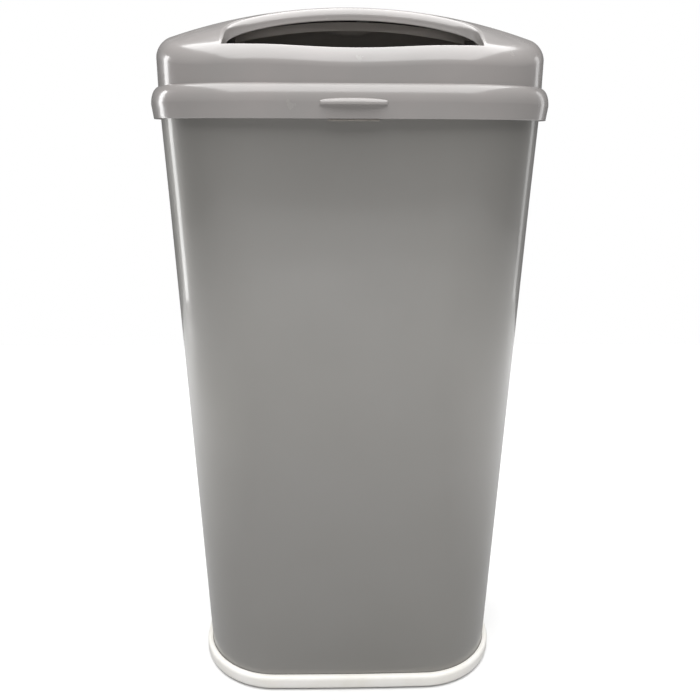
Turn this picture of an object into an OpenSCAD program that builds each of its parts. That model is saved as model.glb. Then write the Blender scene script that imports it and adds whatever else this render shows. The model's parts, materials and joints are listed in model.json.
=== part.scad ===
// Nappy bin: tapered steel body on a plastic base ring, with a hinged plastic lid.
// The lid's mouth is closed by a curved door that slides back under the hood.
// Origin: middle of the footprint, on the floor. The front faces -Y, +Z is up.
// Every outline in plan is one rounded rectangle, grown outwards by a reach:
// the distance from its inner core rectangle.

/* [Body] */
// Width over the lid's rim
rim_w = 340; // [330:1:370]
// Depth over the lid's rim
rim_d = 250; // [242:1:270]
// Corner radius of the rim in plan
corner_r = 96; // [90:1:102]
// Height of the rim's lower edge above the floor
rim_z = 535; // [420:5:640]
// How far the body lies inside the rim's widest face
body_inset = 7.7; // [7.4:0.1:8.4]
// Taper of each wall of the body, in degrees
body_taper = 2.1; // [1:0.1:2.6]
// Thickness of the steel sheet
sheet = 1; // [0.6:0.1:1.4]
// How far the body's upper edge reaches up inside the top frame
body_up = 14; // [12:0.5:16]

/* [Base] */
// Height of the base ring
base_h = 15; // [12:0.5:18]
// How far the base ring stands out beyond the body
base_out = 5.5; // [4:0.5:8]
// Wall thickness of the base ring and its ledge
base_wall = 4; // [3:0.5:5]
// Width of the ledge that carries the body and the floor plate
ledge_w = 22; // [18:1:26]
// Thickness of the floor plate
floor_t = 1.2; // [0.8:0.1:2]
// Radius of each rubber foot
foot_r = 8; // [6:0.5:9]
// Height at which the feet hold the base ring off the floor
foot_h = 1.5; // [1:0.1:2.5]

/* [Top frame] */
// Wall thickness of the top frame
frame_wall = 2; // [1.6:0.1:2.2]
// Height of the frame's outer leg
frame_h = 15; // [14:0.5:16]
// Width of the frame's shelf, from the body inwards
shelf_w = 20; // [17:0.5:23]
// How far the shelf lies below the frame's top
shelf_drop = 12; // [9:0.5:14]
// Width of the bag ring
bag_w = 13; // [11:0.5:15]
// Height of the bag ring
bag_h = 6; // [5:0.5:8]

/* [Lid rim] */
// Height of the rim band
rim_h = 26; // [25:0.5:29]
// Rounding of the rim's upper edge
rim_round = 8; // [6:0.5:9]
// Thickness of the rim's flat top, under the hood
rim_top_t = 3; // [2.5:0.1:3.5]
// Width of the finger tab
tab_w = 54; // [40:1:70]
// How far the finger tab stands out of the rim
tab_out = 5; // [4:0.5:6]
// Thickness of the finger tab in the middle
tab_h = 4.4; // [3.5:0.1:6]
// Height of the tab's flat underside above the rim's lower edge
tab_up = 10.8; // [8:0.1:14]
// Width of the latch tongue under the tab
tongue_w = 39; // [30:1:50]
// Thickness of the latch tongue
tongue_t = 1; // [0.8:0.1:1.2]

/* [Hood] */
// Height of the hood's crown above the rim
hood_rise = 67.5; // [65:0.5:74]
// How far the hood's wall is set in from the rim's widest face
hood_inset = 6.8; // [6.2:0.1:7.6]
// Wall thickness of the hood
hood_wall = 2.5; // [2:0.1:3]
// Rounding of the hood's upper edge
hood_round = 11; // [9:0.5:13]
// Radius of the hood's top from front to back
hood_arc_r = 262; // [250:1:280]
// Radius of the hood's top from side to side
hood_arch_r = 500; // [460:10:800]
// How far behind the middle the crown lies
crown_y = 12; // [6:1:18]
// How far the front edge dips in its middle
dip_depth = 12.5; // [6:0.5:16]
// Half the width of the dip
dip_half_w = 104; // [96:1:120]

/* [Mouth and door] */
// Radius of the mouth's rear edge in plan
mouth_r = 170; // [160:1:185]
// Half the width of the mouth
mouth_half_w = 99; // [92:1:101]
// Radius of the mouth's two rear corners
mouth_corner_r = 25; // [15:1:32]
// Place of the mouth's rear edge in front of the middle
mouth_back = 34; // [28:1:40]
// Thickness of the trim round the mouth
trim_t = 2.5; // [2:0.1:3.5]
// Height of the trim round the mouth
trim_h = 10; // [9:0.5:12]
// Thickness of the sliding door
door_t = 3; // [2.5:0.1:3.5]
// Half the width of the door over its runners
door_half_w = 112; // [106:1:116]
// Angle through which the door slides shut
door_travel = 24; // [20:0.5:24.5]
// Depth of the door's front lip
door_lip = 7; // [5:0.5:9]
// Radius of the finger dish in the door
dish_r = 22; // [16:1:26]
// Depth of the finger dish
dish_deep = 5; // [3:0.5:6]
// Wall thickness of the tracks
track_t = 2; // [1.6:0.1:2.4]
// Width of the chute's collar below the mouth, from the core outwards
chute_reach = 58; // [52:1:60]
// Wall thickness of the chute
chute_t = 2; // [1.6:0.1:2.4]
// Height of the chute
chute_h = 34; // [28:1:38]

/* [Lock] */
// Width of the lock bar and its pawl
lock_w = 10; // [8:0.5:11]
// Sideways travel of the child lock
lock_travel = 12; // [11:0.5:14]
// Thickness of the lock bar
lock_t = 2.3; // [1.8:0.1:2.4]
// Angle behind the crown at which the lock knob sits
knob_angle = 12; // [10:0.5:13]
// Length of the lock knob from front to back
knob_len = 16; // [13:0.5:18]
// Height of the lock knob above the hood
knob_h = 5; // [4:0.5:7]

/* [Hinges and screws] */
// Radius of the hinge knuckles
knuckle_r = 5.5; // [5:0.1:5.6]
// Radius of the hinge pins
pin_r = 2; // [1.5:0.1:2.5]
// Radial running clearance of the hinge pins
pin_gap = 0.05; // [0.03:0.01:0.08]
// Distance of each hinge from the middle
hinge_x = 62; // [50:1:70]
// Length of the lid's middle knuckle
knuckle_len = 22; // [18:1:26]
// Length of each outer knuckle
outer_len = 9; // [7:0.5:11]
// Radius of a screw's shank
screw_r = 1.8; // [1.5:0.1:2.2]
// Radius of a screw's head
head_r = 3.6; // [3.2:0.1:4]

/* [Hidden] */

$fn = 96;
eps = 0.01;
// Clearance between parts that are put together, and between parts that slide
fit_gap = 0.3;
slide_gap = 0.7;
screw_gap = 0.1;
// Room for the lid's skirt to swing past the top frame
swing_gap = 1.3;

// Core rectangle that every outline grows from
core_x = rim_w / 2 - corner_r;
core_y = rim_d / 2 - corner_r;

// Body
taper_k = tan(body_taper);
body_top_z = rim_z + body_up;
ledge_z = foot_h + base_wall;
function body_reach(z) = corner_r - body_inset + (z - rim_z) * taper_k;
base_reach = body_reach(base_h) + base_out;
base_round = 3;
floor_reach = body_reach(ledge_z) - sheet - fit_gap;
base_screw_reach = body_reach(ledge_z) - ledge_w / 2;
foot_sink = 1.5;
foot_angles = [12, 78];
foot_bevel = 0.5;
hem_w = 1.6;
bead_r = 2;
bead_inset = 34;

// Top frame
leg_reach = body_reach(body_top_z) + fit_gap;
frame_reach = leg_reach + frame_wall;
frame_top = body_top_z + fit_gap + frame_wall;
frame_skirt = 26;
frame_inner_reach = body_reach(frame_top - frame_skirt) - sheet - fit_gap;
shelf_z = frame_top - shelf_drop;
shelf_reach = frame_inner_reach - shelf_w;
bag_reach = frame_inner_reach - frame_wall - fit_gap;
grip_w = 5;
grip_len = 24;
slot_w = 3;
slot_len = 30;

// Lid rim
rim_top = rim_z + rim_h;
rim_lean = 1.4;
skirt_reach = frame_reach + swing_gap;
hood_reach = corner_r - hood_inset;
flange_reach = hood_reach - hood_round;
web_z = rim_top - rim_top_t;
gasket_w = 3.5;
gasket_reach = frame_reach - 1;
front_y = -core_y - corner_r;
tongue_h = 16;
tongue_lip = 1.3;
rivet_r = 1.2;
rivet_bite = 1;

// Hinges
hinge_y = rim_d / 2 + tab_out - knuckle_r;
hinge_z = rim_z - knuckle_r - fit_gap;
plate_t = 2;
plate_h = 30;
web_drop = 14;
room_drop = 9;
end_gap = 0.4;
outer_span = knuckle_len + 2 * (outer_len + end_gap);

// Hood
crown_z = rim_top + hood_rise;
axis_z = crown_z - hood_arc_r;
dip_start = 26;
dip_blend = 18;
arc_steps = 8;
long_steps = 6;
side_steps = 4;
round_steps = 5;

// Mouth and door
mouth_y = -mouth_back - mouth_r;
mouth_corner_x = mouth_half_w - mouth_corner_r;
mouth_corner_y = mouth_y + sqrt(pow(mouth_r - mouth_corner_r, 2) - pow(mouth_corner_x, 2));
lip_w = 8.5;
lip_reach = hood_reach - lip_w;
door_drop = trim_h + 1;
door_front_reach = lip_reach - slide_gap;
door_back_gap = 3;
door_back_reach = hood_reach - hood_wall - door_back_gap;
door_front_angle = -40;
wiper_span = 0.9;
// Rear edge of the shut door, so that the open door stops short of the rear wall
door_rear_angle = asin((core_y + door_back_reach - crown_y) / (hood_arc_r - door_drop))
  - wiper_span - door_travel;
runner_w = 6;
runner_span = 3;
runner_angles = [-21, door_rear_angle - 5.2];
door_edge_x = door_half_w - runner_w;
track_gap = 0.4;
track_x = door_half_w + track_gap;
track_inner_x = door_edge_x - 1;
track_front = -24;
track_rear = 20;
hanger_angles = [-18, 0, 16];
hanger_span = 2.4;
track_head_r = 0.8 * head_r;
track_head_h = 0.6;
track_head_z = 1.1;
screw_cut_h = 20;
seal_w = 110;
// How far the seal's lower edge stands above the rim's flat top
seal_lift = 4.9;
dish_angle = -21;

// Lock
bar_drop = hood_wall + 1;
catch_angle = door_rear_angle - 3.5;
catch_span = 1.8;
catch_drop = bar_drop + lock_t + slide_gap;
pawl_angle = catch_angle + catch_span + 0.3;
pawl_span = 1.8;
pawl_drop = door_drop - slide_gap;
bar_end = knob_angle + 3;
stem_len = 6;

// Screws that hold the hood and the chute to the rim
boss_r = 5;
boss_h = 16;
boss_reach = hood_reach - hood_wall - boss_r + 1;
boss_angles = [35, 55];
head_h = 2;

// ---------- outlines and shapes that repeat ----------

// Rounded rectangle in plan, grown outwards from the core by a reach
module plan(reach) {
  square([2 * core_x, 2 * (core_y + reach)], center = true);
  square([2 * (core_x + reach), 2 * core_y], center = true);
  for (x = [-core_x, core_x], y = [-core_y, core_y])
    translate([x, y]) circle(r = reach);
}

// Solid plate of that outline
module slab(reach, z, h) {
  translate([0, 0, z]) linear_extrude(height = h) plan(reach);
}

// Upright band between two outlines
module band(outer, inner, z, h) {
  translate([0, 0, z]) linear_extrude(height = h) difference() {
    plan(outer);
    plan(inner);
  }
}

// A section, drawn as [reach, height], led all the way round the outline
module led_round() {
  for (side = [0, 1]) mirror([0, side, 0])
    translate([-core_x, core_y, 0]) rotate([90, 0, 90])
      linear_extrude(height = 2 * core_x) children();
  for (side = [0, 1]) mirror([side, 0, 0])
    translate([core_x, core_y, 0]) rotate([90, 0, 0])
      linear_extrude(height = 2 * core_y) children();
  for (i = [0:3])
    translate([core_x * corner_sign_x(i), core_y * corner_sign_y(i), 0])
      rotate([0, 0, 90 * i]) rotate_extrude(angle = 90) children();
}
function corner_sign_x(i) = i == 0 || i == 3 ? 1 : -1;
function corner_sign_y(i) = i < 2 ? 1 : -1;

// Point at an angle on a corner of the outline, repeated on all four corners
module at_corners(reach, angle) {
  for (mx = [0, 1], my = [0, 1]) mirror([mx, 0, 0]) mirror([0, my, 0])
    translate([core_x + reach * cos(angle), core_y + reach * sin(angle), 0])
      children();
}

// Shell about the hood's cross axis, a given depth below the hood's surface,
// curved from front to back and from side to side as the hood is
module curved_shell(top, bottom, half_w) {
  about_axis() rotate([0, 90, 0]) rotate_extrude($fn = 180)
    intersection() {
      translate([hood_arc_r - hood_arch_r, 0]) difference() {
        circle(r = hood_arch_r - top, $fn = 360);
        circle(r = hood_arch_r - bottom, $fn = 360);
      }
      translate([hood_arc_r / 2, -half_w]) square([hood_arc_r, 2 * half_w]);
    }
}

// Straight-sided strip about the hood's cross axis
module curved_strip(top, bottom, x, w) {
  about_axis() rotate([0, 90, 0]) rotate_extrude($fn = 180)
    translate([hood_arc_r - bottom, x]) square([bottom - top, w]);
}

module about_axis() {
  translate([0, crown_y, axis_z]) children();
}

// Wedge that keeps what lies between two angles about the cross axis;
// an angle is counted from the top, and is negative towards the front
module wedge(from, to) {
  long = hood_arc_r * 1.5;
  about_axis() rotate([90, 0, 90]) translate([0, 0, -rim_w / 2])
    linear_extrude(height = rim_w) polygon([
      [0, 0],
      [long * sin(from), long * cos(from)],
      [long * sin(to), long * cos(to)]
    ]);
}

// Keeps what lies to the right of a plane
module right_of(x) {
  intersection() {
    children();
    translate([x, -rim_d, 0]) cube([rim_w, 2 * rim_d, 2 * crown_z]);
  }
}

// Turns a piece of the door from shut, as it is drawn, to open
module opened() {
  translate([0, crown_y, axis_z]) rotate([-door_travel, 0, 0])
    translate([0, -crown_y, -axis_z]) children();
}

// Pan-head screw with its tip up, the head's upper face at z = 0
module screw(length, head = head_r) {
  cylinder(r = screw_r, h = length);
  translate([0, 0, -head_h]) difference() {
    cylinder(r = head, h = head_h);
    for (a = [0, 90]) rotate([0, 0, a])
      translate([0, 0, 0.4 - eps]) cube([head, 0.8, 0.8], center = true);
  }
}

// ---------- base and body ----------

module base_ring() {
  color("whitesmoke") difference() {
    union() {
      // Outer wall, with its upper edge rounded
      led_round() {
        translate([base_reach - base_round, base_h - base_round])
          circle(r = base_round);
        translate([base_reach - base_wall - base_out, foot_h])
          square([base_wall + base_out, base_h - base_round - foot_h]);
        translate([base_reach - base_wall - base_out, foot_h])
          square([base_wall + base_out - base_round, base_h - foot_h]);
      }
      // Ledge that carries the body and the floor plate
      band(base_reach - base_wall, body_reach(ledge_z) - ledge_w, foot_h, base_wall);
    }
    // Groove that the body stands in
    led_round() polygon([
      [body_reach(ledge_z) - sheet - fit_gap - ledge_w / 4, ledge_z],
      [body_reach(ledge_z) + fit_gap, ledge_z],
      [body_reach(base_h + 1) + fit_gap, base_h + 1],
      [body_reach(ledge_z) - sheet - fit_gap - ledge_w / 4, base_h + 1]
    ]);
    at_corners(base_screw_reach, 45) {
      cylinder(r = screw_r + screw_gap, h = base_h);
      translate([0, 0, foot_h - eps]) cylinder(r = head_r + fit_gap, h = head_h + eps);
    }
    // Pockets of the rubber feet
    for (a = foot_angles) at_corners(base_screw_reach, a)
      translate([0, 0, foot_h - eps]) cylinder(r = foot_r + screw_gap, h = foot_sink + eps);
  }
}

module rubber_feet() {
  color("dimgray") for (a = foot_angles) at_corners(base_screw_reach, a) {
    translate([0, 0, foot_bevel])
      cylinder(r = foot_r, h = foot_h + foot_sink - foot_bevel);
    cylinder(r1 = foot_r - foot_bevel, r2 = foot_r, h = foot_bevel);
  }
}

module base_screws() {
  color("silver") at_corners(base_screw_reach, 45)
    translate([0, 0, foot_h + head_h]) screw(base_wall + floor_t);
}

module floor_plate() {
  color("gainsboro") difference() {
    union() {
      slab(floor_reach, ledge_z, floor_t);
      // Pressed bead that stiffens the plate
      led_round() translate([floor_reach - bead_inset, ledge_z + floor_t])
        intersection() {
          circle(r = bead_r);
          translate([-bead_r, -eps]) square(2 * bead_r);
        }
    }
    at_corners(base_screw_reach, 45) cylinder(r = screw_r + screw_gap, h = 2 * base_h);
  }
}

module body_shell() {
  color([0.66, 0.65, 0.64]) difference() {
    union() {
      led_round() polygon([
        [body_reach(ledge_z) - sheet, ledge_z],
        [body_reach(ledge_z), ledge_z],
        [body_reach(body_top_z), body_top_z],
        [body_reach(body_top_z) - sheet, body_top_z]
      ]);
      // Inward hem that the floor plate is held by
      band(body_reach(ledge_z) - sheet / 2, body_reach(ledge_z) - sheet - hem_w,
        ledge_z + floor_t, sheet);
    }
    bracket_screw_places() translate([0, 0, -6]) cylinder(r = screw_r + screw_gap, h = 8);
  }
}

// ---------- top frame ----------

module top_frame() {
  color("lightgray") {
    // Channel that is pressed over the body's upper edge
    band(frame_reach, leg_reach, frame_top - frame_h, frame_h - frame_wall + eps);
    band(frame_reach, frame_inner_reach - frame_wall, frame_top - frame_wall, frame_wall);
    band(frame_inner_reach, frame_inner_reach - frame_wall, frame_top - frame_skirt,
      frame_skirt - frame_wall + eps);
    // Shelf that the bag ring lies on
    band(frame_inner_reach - frame_wall / 2, shelf_reach, shelf_z - frame_wall, frame_wall);
    band(shelf_reach + frame_wall, shelf_reach, shelf_z - frame_wall - 5, 5 + eps);
  }
}

module bag_ring() {
  color("white") difference() {
    union() {
      band(bag_reach, bag_reach - bag_w, shelf_z, frame_wall);
      band(bag_reach - bag_w + frame_wall, bag_reach - bag_w, shelf_z, bag_h);
      // Grips to lift the ring by, one at each side
      for (side = [0, 1]) mirror([side, 0, 0])
        translate([core_x + bag_reach - bag_w + 1, -grip_len / 2, shelf_z])
          cube([grip_w, grip_len, bag_h]);
    }
    // Slots that hold the bag's gathered end
    for (side = [0, 1]) mirror([0, side, 0])
      translate([-slot_len / 2, core_y + bag_reach - bag_w / 2 - slot_w / 2, shelf_z - 1])
        cube([slot_len, slot_w, bag_h]);
  }
}

// ---------- hinges ----------

module bracket_screw_places() {
  for (x = [-hinge_x, hinge_x], dx = [-knuckle_len / 2, knuckle_len / 2])
    on_rear_wall(hinge_z - plate_h + 9) translate([x + dx, 0, plate_t])
      children();
}

// Moves to the body's rear wall at a height, with +Z out of the wall
module on_rear_wall(z) {
  translate([0, core_y + body_reach(z), z]) rotate([-90 - body_taper, 0, 0]) children();
}

module hinge_bracket() {
  top_z = hinge_z + knuckle_r - 1;
  difference() {
    union() {
      translate([-outer_span / 2, 0, 0]) rotate([90, 0, 90])
        linear_extrude(height = outer_span) polygon([
          [core_y + body_reach(hinge_z - plate_h), hinge_z - plate_h],
          [core_y + body_reach(hinge_z - plate_h) + plate_t, hinge_z - plate_h],
          [core_y + body_reach(top_z) + plate_t, top_z],
          [core_y + body_reach(top_z), top_z]
        ]);
      for (side = [0, 1]) mirror([side, 0, 0])
        translate([knuckle_len / 2 + end_gap, 0, 0]) {
          translate([0, hinge_y, hinge_z]) rotate([0, 90, 0])
            cylinder(r = knuckle_r, h = outer_len);
          // Web between the knuckle and the plate
          rotate([90, 0, 90]) linear_extrude(height = outer_len) polygon([
            [core_y + body_reach(hinge_z - web_drop) + plate_t / 2, hinge_z - web_drop],
            [hinge_y + knuckle_r * cos(35), hinge_z - knuckle_r * sin(35)],
            [hinge_y, hinge_z + knuckle_r - 0.5],
            [core_y + body_reach(top_z) + plate_t / 2, top_z]
          ]);
        }
    }
    translate([-outer_span, hinge_y, hinge_z]) rotate([0, 90, 0])
      cylinder(r = pin_r + pin_gap, h = 2 * outer_span);
    // Room for the lid's own knuckle
    translate([-knuckle_len / 2 - end_gap, core_y + body_reach(hinge_z - room_drop) + 0.2,
      hinge_z - room_drop])
      cube([knuckle_len + 2 * end_gap, plate_h, plate_h]);
  }
}

module hinge_bracket_left() {
  color("darkgray") bracket_at(-1);
}

module hinge_bracket_right() {
  color("darkgray") bracket_at(1);
}

module bracket_at(side) {
  difference() {
    translate([side * hinge_x, 0, 0]) hinge_bracket();
    bracket_screw_places() translate([0, 0, -6]) cylinder(r = screw_r + screw_gap, h = 8);
  }
}

module bracket_screws() {
  color("silver") bracket_screw_places() rotate([180, 0, 0]) screw(plate_t + sheet + 3);
}

module hinge_pin(side) {
  color("silver") translate([side * hinge_x - outer_span / 2 - 0.5, hinge_y, hinge_z])
    rotate([0, 90, 0]) cylinder(r = pin_r, h = outer_span + 1);
}

module hinge_pin_left() {
  hinge_pin(-1);
}

module hinge_pin_right() {
  hinge_pin(1);
}

// ---------- lid rim ----------

module rim_section() {
  difference() {
    union() {
      translate([corner_r - rim_round, rim_h - rim_round]) circle(r = rim_round);
      polygon([
        [flange_reach, rim_h - rim_top_t],
        [skirt_reach, rim_h - rim_top_t],
        [skirt_reach, 0],
        [corner_r - rim_lean - 0.8, 0],
        [corner_r - rim_lean, 0.8],
        [corner_r, rim_h - rim_round],
        [corner_r - rim_round, rim_h],
        [flange_reach, rim_h]
      ]);
    }
    // Hollow under the rounded edge
    translate([flange_reach, -1])
      square([skirt_reach - flange_reach, rim_h - rim_top_t + 1]);
  }
}

// Soft ring under the rim's flat top; its lip meets the top frame
module lid_gasket() {
  gasket_h = web_z - frame_top - fit_gap;
  color("dimgray") {
    band(gasket_reach, gasket_reach - gasket_w, web_z - gasket_h / 2, gasket_h / 2);
    band(gasket_reach - gasket_w / 4, gasket_reach - 3 * gasket_w / 4,
      web_z - gasket_h, gasket_h);
  }
}

// Crescent tab that the lid is lifted by
module finger_tab() {
  half = tab_w / 2;
  end_h = tab_h * 0.5;
  top_r = (half * half + pow(tab_h - end_h, 2)) / (2 * (tab_h - end_h));
  out_r = (half * half + tab_out * tab_out) / (2 * tab_out);
  intersection() {
    translate([0, front_y + 6, rim_z + tab_up]) rotate([90, 0, 0])
      linear_extrude(height = 6 + tab_out) intersection() {
        translate([0, tab_h - top_r]) circle(r = top_r, $fn = 360);
        translate([-half, 0]) square([tab_w, tab_h]);
      }
    translate([0, front_y - tab_out + out_r, rim_z]) cylinder(r = out_r, h = rim_h, $fn = 360);
  }
}

module lid_rim() {
  lug = 1.2;
  color([0.68, 0.67, 0.67]) difference() {
    union() {
      translate([0, 0, rim_z]) led_round() rim_section();
      difference() {
        finger_tab();
        slab((skirt_reach + corner_r - rim_lean) / 2, rim_z - 1, rim_h);
      }
      // Knuckles of the two hinges, hung from the rear skirt
      for (x = [-hinge_x, hinge_x]) translate([x - knuckle_len / 2, 0, 0]) {
        translate([0, hinge_y, hinge_z]) rotate([0, 90, 0])
          cylinder(r = knuckle_r, h = knuckle_len);
        translate([0, core_y + skirt_reach, hinge_z])
          cube([knuckle_len, corner_r - rim_lean - skirt_reach, rim_z - hinge_z + lug]);
      }
    }
    translate([-rim_w / 2, hinge_y, hinge_z]) rotate([0, 90, 0])
      cylinder(r = pin_r + pin_gap, h = rim_w);
    // Seat of the latch tongue
    translate([-tongue_w / 2 - fit_gap, -core_y - skirt_reach - tongue_t, rim_z - 1])
      cube([tongue_w + 2 * fit_gap, tongue_t + 1, tongue_h + fit_gap + 1]);
    rivet_places() cylinder(r = rivet_r + screw_gap, h = tongue_t / 2 + rivet_bite + fit_gap);
    // Holes of the lid screws
    boss_places() cylinder(r = screw_r + screw_gap, h = 3 * rim_top_t, center = true);
  }
}

module rivet_places() {
  for (x = [-tongue_w / 3, tongue_w / 3])
    translate([x, -core_y - skirt_reach - tongue_t / 2, rim_z + tongue_h - 3])
      rotate([90, 0, 0]) children();
}

// Spring-steel tongue behind the tab; its lip shows under the rim
module latch_tongue() {
  color("gray") difference() {
    union() {
      translate([-tongue_w / 2, -core_y - skirt_reach - tongue_t, rim_z - tongue_lip - fit_gap])
        cube([tongue_w, tongue_t, tongue_h + tongue_lip + fit_gap]);
      translate([-tongue_w / 2, -core_y - corner_r + rim_lean, rim_z - tongue_lip - fit_gap])
        cube([tongue_w, corner_r - rim_lean - skirt_reach, tongue_lip]);
    }
    rivet_places() cylinder(r = rivet_r + screw_gap, h = 8, center = true);
  }
}

module tongue_rivets() {
  color("silver") rivet_places() {
    translate([0, 0, -tongue_t / 2 - 0.6]) cylinder(r = rivet_r * 1.5, h = 0.6);
    translate([0, 0, -tongue_t / 2]) cylinder(r = rivet_r, h = tongue_t + rivet_bite);
  }
}

// ---------- hood ----------

// Height of the hood's surface, a given depth below its outside
function hood_radius(x) = hood_arc_r - hood_arch_r + sqrt(hood_arch_r * hood_arch_r - x * x);
function hood_z(x, y, depth) =
  axis_z + sqrt(pow(hood_radius(x) - depth, 2) - pow(y - crown_y, 2)) - dip(x, y);

// Dip of the front edge: deepest in the middle, gone behind the front wall
function dip(x, y) = dip_depth * pow(max(0, 1 - pow(x / dip_half_w, 2)), 1.2)
  * ease((-y - core_y - lip_reach + dip_start) / dip_blend);
function ease(t) = let (u = min(1, max(0, t))) u * u * (3 - 2 * u);

// Outline as points: four corner arcs, with steps along the straight sides
function corner_arc(i, reach) = [
  for (k = [0:arc_steps]) let (a = 90 * (i + k / arc_steps))
    [core_x * corner_sign_x(i) + reach * cos(a), core_y * corner_sign_y(i) + reach * sin(a)]
];
function steps_between(a, b, n) = [for (k = [1:n - 1]) a + (b - a) * k / n];
function outline(reach) = [
  for (i = [0:3]) let (
    this = corner_arc(i, reach),
    next = corner_arc((i + 1) % 4, reach)
  ) each concat(this,
    steps_between(this[arc_steps], next[0], i % 2 == 0 ? long_steps : side_steps))
];

// One ring of the hood: an outline set in from the wall, dropped from the top
function hood_ring(reach, depth, drop) = [
  for (p = outline(reach)) [p[0], p[1], hood_z(p[0], p[1], depth) - drop]
];
function shrunk_ring(reach, k, depth) = [
  for (p = outline(reach)) [k * p[0], k * p[1], hood_z(k * p[0], k * p[1], depth)]
];

// Rings of one skin of the hood: wall, rounded edge and domed top
function hood_rings(depth) = let (
  wall = hood_reach - depth,
  edge = hood_round - depth,
  top = wall - edge
) concat(
  [[for (p = outline(wall)) [p[0], p[1], rim_top]]],
  [for (k = [0:round_steps]) let (a = 90 * k / round_steps)
    hood_ring(wall - edge * (1 - cos(a)), depth, edge * (1 - sin(a)))],
  [for (k = [3, 2, 1]) hood_ring(top * k / 4, depth, 0)],
  [for (k = [2, 1]) shrunk_ring(top / 16, k / 3, depth)]
);

// Faces of one skin: n points a ring, m rings, closed by a point in the middle
function skin_faces(n, m, start) = concat(
  [for (j = [0:m - 2], i = [0:n - 1]) let (
    a = start + j * n + i,
    b = start + j * n + (i + 1) % n
  ) each [[a, a + n, b + n], [a, b + n, b]]],
  [for (i = [0:n - 1]) let (last = start + (m - 1) * n)
    [last + i, start + m * n, last + (i + 1) % n]]
);
function turned_over(faces) = [for (f = faces) [f[0], f[2], f[1]]];

// Both skins of the hood, joined along the foot of the wall
module hood_shell() {
  outside = hood_rings(0);
  inside = hood_rings(hood_wall);
  n = len(outside[0]);
  m = len(outside);
  start = m * n + 1;
  points = concat(
    [for (ring = outside) each ring], [[0, 0, hood_z(0, 0, 0)]],
    [for (ring = inside) each ring], [[0, 0, hood_z(0, 0, hood_wall)]]
  );
  foot = [for (i = [0:n - 1]) let (k = (i + 1) % n)
    each [[i, k, start + k], [i, start + k, start + i]]];
  polyhedron(points, concat(skin_faces(n, m, 0), turned_over(skin_faces(n, m, start)), foot),
    convexity = 6);
}

module boss_places() {
  for (a = boss_angles) at_corners(boss_reach, a)
    translate([0, 0, rim_top]) children();
}

// The mouth in plan: a rear arc, two rounded rear corners and straight sides
module mouth_plan(grow) {
  arc_half_w = (mouth_r + grow) * mouth_corner_x / (mouth_r - mouth_corner_r);
  intersection() {
    translate([0, mouth_y]) circle(r = mouth_r + grow, $fn = 360);
    translate([-arc_half_w, -rim_d]) square([2 * arc_half_w, 2 * rim_d]);
  }
  for (x = [-mouth_corner_x, mouth_corner_x])
    translate([x, mouth_corner_y]) circle(r = mouth_corner_r + grow);
  translate([-mouth_half_w - grow, -rim_d])
    square([2 * (mouth_half_w + grow), rim_d + mouth_corner_y]);
}

module mouth_opening(grow) {
  intersection() {
    translate([0, 0, rim_top]) linear_extrude(height = 2 * hood_rise) mouth_plan(grow);
    slab(lip_reach, rim_top, 2 * hood_rise);
  }
}

module lock_slot() {
  about_axis() rotate([-knob_angle, 0, 0])
    translate([-lock_w / 2 + 1 - fit_gap, -stem_len / 2 - fit_gap, hood_arc_r - 2 * hood_wall])
      cube([lock_w - 2 + lock_travel + 2 * fit_gap, stem_len + 2 * fit_gap, 4 * hood_wall]);
}

module hood() {
  color([0.72, 0.71, 0.71]) difference() {
    union() {
      hood_shell();
      boss_places() cylinder(r = boss_r, h = boss_h);
    }
    mouth_opening(trim_t);
    lock_slot();
    boss_places() translate([0, 0, -1]) cylinder(r = screw_r, h = boss_h - 1);
  }
}

// Edge trim that stiffens the rear edge of the mouth
module mouth_trim() {
  color([0.75, 0.73, 0.72]) intersection() {
    curved_shell(0, trim_h, rim_w / 2);
    difference() {
      mouth_opening(trim_t);
      linear_extrude(height = 2 * crown_z) mouth_plan(0);
    }
  }
}

// Soft strip inside the front wall, under its lip, which the shut door's lip meets
module front_seal() {
  seal_z = rim_top + seal_lift;
  edge_r = hood_round - hood_wall;
  edge_z = hood_z(0, -core_y - hood_reach + hood_wall, hood_wall) - edge_r;
  wall = hood_reach - hood_wall - fit_gap;
  inner = door_front_reach + fit_gap;
  color("dimgray") intersection() {
    led_round() intersection() {
      translate([inner, seal_z]) square([wall - inner, edge_z + edge_r - seal_z]);
      union() {
        translate([wall + fit_gap - edge_r, edge_z]) circle(r = edge_r - fit_gap);
        translate([0, rim_z]) square([wall, edge_z - rim_z]);
      }
    }
    translate([-seal_w / 2, -rim_d, 0]) cube([seal_w, rim_d, crown_z]);
  }
}

module chute() {
  flange_z = web_z - chute_t;
  color("gainsboro") difference() {
    union() {
      band(chute_reach, chute_reach - chute_t, flange_z - chute_h, chute_h + eps);
      band(gasket_reach - gasket_w - fit_gap, chute_reach - chute_t, flange_z, chute_t);
    }
    boss_places() cylinder(r = screw_r + screw_gap, h = 2 * chute_h, center = true);
  }
}

module lid_screws() {
  color("silver") boss_places() translate([0, 0, -rim_top_t - chute_t])
    screw(rim_top_t + chute_t + boss_h - 6);
}

// ---------- sliding door ----------

// Channel that the door's runners slide in, hung from the hood on three feet
module track() {
  top = door_drop - track_gap - track_t;
  bottom = door_drop + door_t + track_gap + track_t;
  intersection() {
    wedge(track_front, track_rear);
    right_of(track_inner_x) difference() {
      curved_shell(top, bottom, track_x + track_t);
      curved_shell(top + track_t, bottom - track_t, track_x);
    }
  }
  for (a = hanger_angles) difference() {
    intersection() {
      wedge(a - hanger_span / 2, a + hanger_span / 2);
      right_of(track_inner_x + 1)
        curved_shell(hood_wall + fit_gap, top + eps, track_x + track_t);
    }
    track_screw_at(a) translate([0, 0, -1]) cylinder(r = screw_r, h = screw_cut_h);
  }
}

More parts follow.
